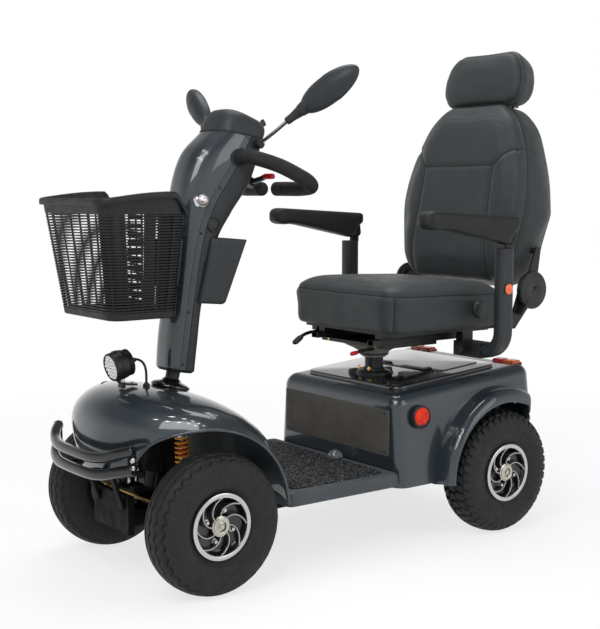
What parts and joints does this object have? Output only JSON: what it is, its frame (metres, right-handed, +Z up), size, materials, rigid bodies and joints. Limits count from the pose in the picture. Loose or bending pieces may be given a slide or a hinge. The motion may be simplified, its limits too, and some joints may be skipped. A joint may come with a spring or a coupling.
{
  "type": "mobility scooter",
  "caption": "Mobility scooter with a swivelling padded seat, a tilting tiller with basket and mirrors, sprung front wheels and a flat footplate between moulded bodies.",
  "frame": {"origin": "on the ground, under the middle of the overall length and width", "axes": "+Z up, -Y towards the front, +X towards the rider's left"},
  "size_m": [0.7042, 1.4119, 1.3082],
  "materials": {
    "body_paint": "glossy dark blue-grey metallic paint on moulded panels",
    "dark_plastic": "fine-grained charcoal moulding",
    "gloss_black": "glossy black moulding",
    "rubber": "soft black rubber",
    "tyre_rubber": "black tyre rubber",
    "foam_grip": "closed-cell black foam sleeve",
    "black_steel": "black powder coat",
    "bright_steel": "bright steel, black inside the wheel dish",
    "cast_metal": "grey casting",
    "gold_zinc": "yellow zinc plating",
    "yellow_enamel": "yellow enamel",
    "vinyl": "grained charcoal upholstery vinyl with stitched seams",
    "red_plastic": "red moulding",
    "amber_lens": "clear lens over amber cells",
    "grey_case": "plain grey case"
  },
  "bodies": {
    "chassis": {"main_frame": "black_steel", "front_shroud": "body_paint", "rear_shroud": "body_paint", "deck_cover": "gloss_black", "footplate": "dark_plastic", "front_bumper": "black_steel", "stem_boot": "rubber", "headlight": "dark_plastic", "headlight_bracket": "black_steel", "headlight_lead": "rubber", "battery_left": "grey_case", "battery_right": "grey_case", "drive_unit": "cast_metal", "seat_post": "black_steel", "shock_damper_left": "bright_steel", "shock_damper_right": "bright_steel", "shock_spring_left": "yellow_enamel", "shock_spring_right": "yellow_enamel"},
    "steering": {"steering_stem": "black_steel"},
    "tiller": {"tiller_mast": "black_steel", "handlebar": "foam_grip", "tiller_front_cover": "body_paint", "tiller_rear_cover": "dark_plastic", "console_hood": "dark_plastic", "basket": "dark_plastic", "basket_bracket": "black_steel", "storage_box": "dark_plastic", "turn_signal_left": "amber_lens", "turn_signal_right": "amber_lens"},
    "tie_link": {"tie_rod": "gold_zinc"},
    "throttle": {"throttle_lever": "red_plastic"},
    "dial": {"speed_dial": "dark_plastic"},
    "key": {"key_switch": "bright_steel"},
    "horn": {"horn_button": "red_plastic"},
    "seat_turntable": {"seat_swivel_base": "cast_metal"},
    "swivel_release": {"swivel_lever": "red_plastic"},
    "seat": {"seat_frame": "black_steel", "seat_cushion": "vinyl"},
    "slide_release": {"seat_lever": "dark_plastic"},
    "backrest": {"backrest_frame": "black_steel", "backrest_cushion": "vinyl"},
    "head_support": {"headrest": "vinyl"},
    "swing_arm_left": {"suspension_arm_left": "black_steel"},
    "upright_left": {"knuckle_left": "cast_metal"},
    "front_wheel_left": {"front_rim_left": "bright_steel", "front_tyre_left": "tyre_rubber"},
    "rear_wheel_left": {"rear_rim_left": "bright_steel", "rear_tyre_left": "tyre_rubber"},
    "view_mirror_left": {"mirror_left": "dark_plastic"},
    "armrest_left": {"arm_post_left": "black_steel"},
    "arm_rest_pad_left": {"arm_pad_left": "dark_plastic"},
    "swing_arm_right": {"suspension_arm_right": "black_steel"},
    "upright_right": {"knuckle_right": "cast_metal"},
    "front_wheel_right": {"front_rim_right": "bright_steel", "front_tyre_right": "tyre_rubber"},
    "rear_wheel_right": {"rear_rim_right": "bright_steel", "rear_tyre_right": "tyre_rubber"},
    "view_mirror_right": {"mirror_right": "dark_plastic"},
    "armrest_right": {"arm_post_right": "black_steel"},
    "arm_rest_pad_right": {"arm_pad_right": "dark_plastic"}
  },
  "joints": [
    {"name": "steering_turn", "type": "hinge", "parent": "chassis", "child": "steering", "pos_m": [0, -0.414, 0.515], "axis": [0, 0.2419, 0.9703], "range_deg": [-31, 31]},
    {"name": "tiller_tilt", "type": "hinge", "parent": "steering", "child": "tiller", "pos_m": [0, -0.414, 0.515], "axis": [1, 0, 0], "range_deg": [-6, 12]},
    {"name": "tie_rod_slide", "type": "slide", "parent": "chassis", "child": "tie_link", "axis": [1, 0, 0], "range_m": [-0.025, 0.025]},
    {"name": "suspension_left", "type": "hinge", "parent": "chassis", "child": "swing_arm_left", "pos_m": [0.045, -0.47, 0.165], "axis": [0, -1, 0], "range_deg": [0, 5], "stiffness_Nm_per_rad": 400, "springref_deg": -6.88, "deforming": ["shock_spring_left", "shock_damper_left"]},
    {"name": "knuckle_turn_left", "type": "hinge", "parent": "swing_arm_left", "child": "upright_left", "pos_m": [0.165, -0.47, 0.165], "axis": [0, 0, 1], "range_deg": [-23.8, 23.8]},
    {"name": "front_spin_left", "type": "hinge", "parent": "upright_left", "child": "front_wheel_left", "pos_m": [0.2465, -0.47, 0.165], "axis": [1, 0, 0], "continuous": true},
    {"name": "rear_spin_left", "type": "hinge", "parent": "chassis", "child": "rear_wheel_left", "pos_m": [0.263, 0.424, 0.165], "axis": [1, 0, 0], "continuous": true},
    {"name": "mirror_turn_left", "type": "hinge", "parent": "tiller", "child": "view_mirror_left", "pos_m": [0.079, -0.235, 1.04], "axis": [1, 0, 0], "range_deg": [-20, 20]},
    {"name": "arm_slide_left", "type": "slide", "parent": "seat", "child": "armrest_left", "axis": [1, 0, 0], "range_m": [0, 0.05]},
    {"name": "arm_flip_left", "type": "hinge", "parent": "armrest_left", "child": "arm_rest_pad_left", "pos_m": [0.317, 0.405, 0.792], "axis": [-1, 0, 0], "range_deg": [0, 95]},
    {"name": "suspension_right", "type": "hinge", "parent": "chassis", "child": "swing_arm_right", "pos_m": [-0.045, -0.47, 0.165], "axis": [0, 1, 0], "range_deg": [0, 5], "stiffness_Nm_per_rad": 400, "springref_deg": -6.88, "deforming": ["shock_spring_right", "shock_damper_right"]},
    {"name": "knuckle_turn_right", "type": "hinge", "parent": "swing_arm_right", "child": "upright_right", "pos_m": [-0.165, -0.47, 0.165], "axis": [0, 0, 1], "range_deg": [-23.8, 23.8]},
    {"name": "front_spin_right", "type": "hinge", "parent": "upright_right", "child": "front_wheel_right", "pos_m": [-0.2465, -0.47, 0.165], "axis": [1, 0, 0], "continuous": true},
    {"name": "rear_spin_right", "type": "hinge", "parent": "chassis", "child": "rear_wheel_right", "pos_m": [-0.263, 0.424, 0.165], "axis": [1, 0, 0], "continuous": true},
    {"name": "mirror_turn_right", "type": "hinge", "parent": "tiller", "child": "view_mirror_right", "pos_m": [-0.079, -0.235, 1.04], "axis": [1, 0, 0], "range_deg": [-20, 20]},
    {"name": "arm_slide_right", "type": "slide", "parent": "seat", "child": "armrest_right", "axis": [-1, 0, 0], "range_m": [0, 0.05]},
    {"name": "arm_flip_right", "type": "hinge", "parent": "armrest_right", "child": "arm_rest_pad_right", "pos_m": [-0.317, 0.405, 0.792], "axis": [-1, 0, 0], "range_deg": [0, 95]},
    {"name": "throttle_rock", "type": "hinge", "parent": "tiller", "child": "throttle", "pos_m": [0, -0.199, 0.938], "axis": [0, 0.5299, 0.848], "range_deg": [-12, 12], "stiffness_Nm_per_rad": 1.5},
    {"name": "dial_turn", "type": "hinge", "parent": "tiller", "child": "dial", "pos_m": [0, -0.198, 1.065], "axis": [0, 0.848, 0.5299], "range_deg": [-135, 135]},
    {"name": "key_turn", "type": "hinge", "parent": "tiller", "child": "key", "pos_m": [0.034, -0.198, 1.065], "axis": [0, 0.848, 0.5299], "range_deg": [0, 60]},
    {"name": "horn_press", "type": "slide", "parent": "tiller", "child": "horn", "axis": [0, -0.848, -0.5299], "range_m": [0, 0.003], "stiffness_N_per_m": 400, "springref_m": -0.002},
    {"name": "seat_swivel", "type": "hinge", "parent": "chassis", "child": "seat_turntable", "pos_m": [0, 0.217, 0.474], "axis": [0, 0, 1], "range_deg": [-90, 90]},
    {"name": "swivel_lever_lift", "type": "hinge", "parent": "seat_turntable", "child": "swivel_release", "pos_m": [0.06, 0.137, 0.4927], "axis": [-1, 0, 0], "range_deg": [0, 10], "stiffness_Nm_per_rad": 0.5, "springref_deg": -11.46},
    {"name": "seat_slide", "type": "slide", "parent": "seat_turntable", "child": "seat", "axis": [0, 1, 0], "range_m": [-0.06, 0.06]},
    {"name": "seat_lever_lift", "type": "hinge", "parent": "seat", "child": "slide_release", "pos_m": [-0.155, 0.127, 0.522], "axis": [-1, 0, 0], "range_deg": [0, 10], "stiffness_Nm_per_rad": 0.5, "springref_deg": -11.46},
    {"name": "backrest_recline", "type": "hinge", "parent": "seat", "child": "backrest", "pos_m": [0, 0.571, 0.644], "axis": [-1, 0, 0], "range_deg": [0, 30]},
    {"name": "headrest_height", "type": "slide", "parent": "backrest", "child": "head_support", "axis": [0, 0.1908, 0.9816], "range_m": [0, 0.06]}
  ],
  "couplings": [
    {"joint": "knuckle_turn_left", "follows": "steering_turn", "ratio": 0.75},
    {"joint": "knuckle_turn_right", "follows": "steering_turn", "ratio": 0.75},
    {"joint": "tie_rod_slide", "follows": "steering_turn", "m_per_rad": 0.045}
  ]
}
